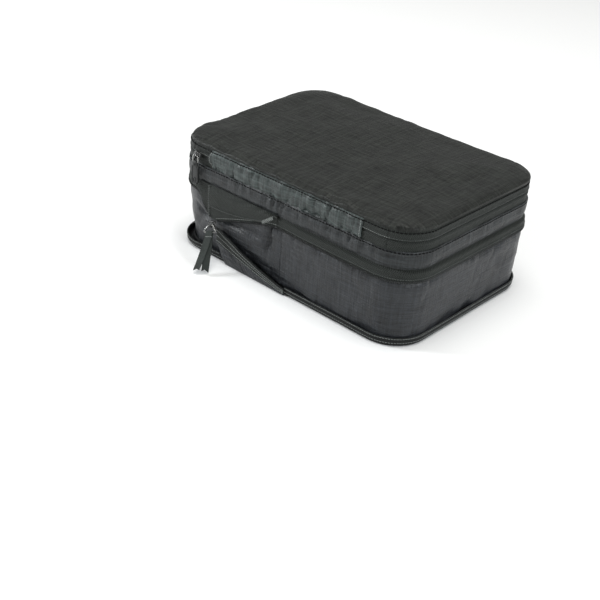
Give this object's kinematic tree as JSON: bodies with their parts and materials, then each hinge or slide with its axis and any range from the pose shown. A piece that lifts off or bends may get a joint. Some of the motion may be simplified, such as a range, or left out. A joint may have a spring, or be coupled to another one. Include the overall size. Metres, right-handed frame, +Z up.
{
  "type": "compression packing cube",
  "caption": "Soft rectangular travel organiser with a zip-round lid, a compression zip that folds away a gusset, and a side grab handle.",
  "frame": {"origin": "middle of the flat underside, on the surface the cube stands on", "axes": "+Z up; +X along the long side; -Y is the long side with the hinge strip and both sliders at rest; -X is the short side with the grab handle"},
  "size_m": [0.2653, 0.2003, 0.1022],
  "materials": {
    "ripstop": "coated ripstop nylon, very dark grey-green, soft sheen",
    "tape_cloth": "woven herringbone zip tape, matt",
    "coil_plastic": "nylon zip coil",
    "binding_cloth": "grosgrain seam binding",
    "webbing": "ribbed ribbon and webbing",
    "thread": "dense lock stitching",
    "gunmetal": "dark plated die-cast zip parts",
    "moulded": "soft moulded pull"
  },
  "bodies": {
    "base": {"bottom_panel": "ripstop", "gusset": "ripstop", "comp_lower_tape": "tape_cloth", "comp_lower_coil": "coil_plastic", "base_seam_binding": "binding_cloth"},
    "upper_frame": {"middle_band": "ripstop", "middle_seam_binding": "binding_cloth", "comp_upper_tape": "tape_cloth", "comp_upper_coil": "coil_plastic", "zip_start_tape": "tape_cloth", "zip_start_coil": "coil_plastic", "seam_facing": "tape_cloth", "bar_tack": "thread", "zip_far_end_tape": "tape_cloth", "zip_end_seam": "thread", "hinge_strip": "ripstop", "zip_end_left": "tape_cloth", "zip_end_right": "tape_cloth", "main_lower_tape": "tape_cloth", "main_lower_coil": "coil_plastic", "grab_foot_front": "webbing", "grab_foot_back": "webbing"},
    "lid": {"top_panel": "ripstop", "main_upper_tape": "tape_cloth", "main_upper_coil": "coil_plastic", "top_seam_binding": "binding_cloth"},
    "compression_slider": {"comp_slider": "gunmetal", "ramp_tape": "tape_cloth", "ramp_coil": "coil_plastic", "ramp_web": "ripstop"},
    "compression_ring": {"comp_ring": "gunmetal"},
    "ribbon_pull": {"comp_ribbon_pull": "webbing"},
    "main_slider": {"main_slider": "gunmetal"},
    "main_pull": {"main_link": "gunmetal", "main_pull": "moulded"},
    "grab_handle": {"grab_handle": "webbing"}
  },
  "joints": [
    {"name": "compress", "type": "slide", "parent": "base", "child": "upper_frame", "axis": [0, 0, 1], "range_m": [-0.0473, 0], "deforming": ["gusset", "ramp_tape", "ramp_coil", "ramp_web", "zip_start_tape", "zip_start_coil", "zip_far_end_tape", "zip_end_seam"]},
    {"name": "compression_zip_travel", "type": "slide", "parent": "upper_frame", "child": "compression_slider", "axis": [0.9636, 0, 0.2673], "range_m": [0, 0.0872]},
    {"name": "ring_swing", "type": "hinge", "parent": "compression_slider", "child": "compression_ring", "pos_m": [-0.074, -0.0903, 0.033], "axis": [-0.9397, -0.342, 0], "range_deg": [0, 38]},
    {"name": "ribbon_swing", "type": "hinge", "parent": "compression_ring", "child": "ribbon_pull", "pos_m": [-0.07135, -0.0937, 0.02828], "axis": [-0.8725, -0.4627, -0.1569], "range_deg": [0, 100]},
    {"name": "lid_open", "type": "hinge", "parent": "upper_frame", "child": "lid", "pos_m": [0, -0.0845, 0.088], "axis": [1, 0, 0], "range_deg": [0, 110], "deforming": ["hinge_strip", "zip_end_left", "zip_end_right"]},
    {"name": "main_zip_travel", "type": "hinge", "parent": "upper_frame", "child": "main_slider", "pos_m": [-0.0945, -0.0545, 0.088], "axis": [0, 0, -1], "range_deg": [0, 90]},
    {"name": "pull_swing", "type": "hinge", "parent": "main_slider", "child": "main_pull", "pos_m": [-0.0945, -0.0895, 0.088], "axis": [-1, 0, 0], "range_deg": [0, 150]},
    {"name": "handle_swing", "type": "hinge", "parent": "upper_frame", "child": "grab_handle", "pos_m": [-0.1316, 0, 0.0732], "axis": [0, 1, 0], "range_deg": [-45, 45]}
  ],
  "couplings": [
    {"joint": "compression_zip_travel", "follows": "compress", "ratio": -1.843},
    {"joint": "ring_swing", "follows": "compress", "rad_per_m": -13.84},
    {"joint": "main_zip_travel", "follows": "lid_open", "ratio": 0.81818}
  ]
}
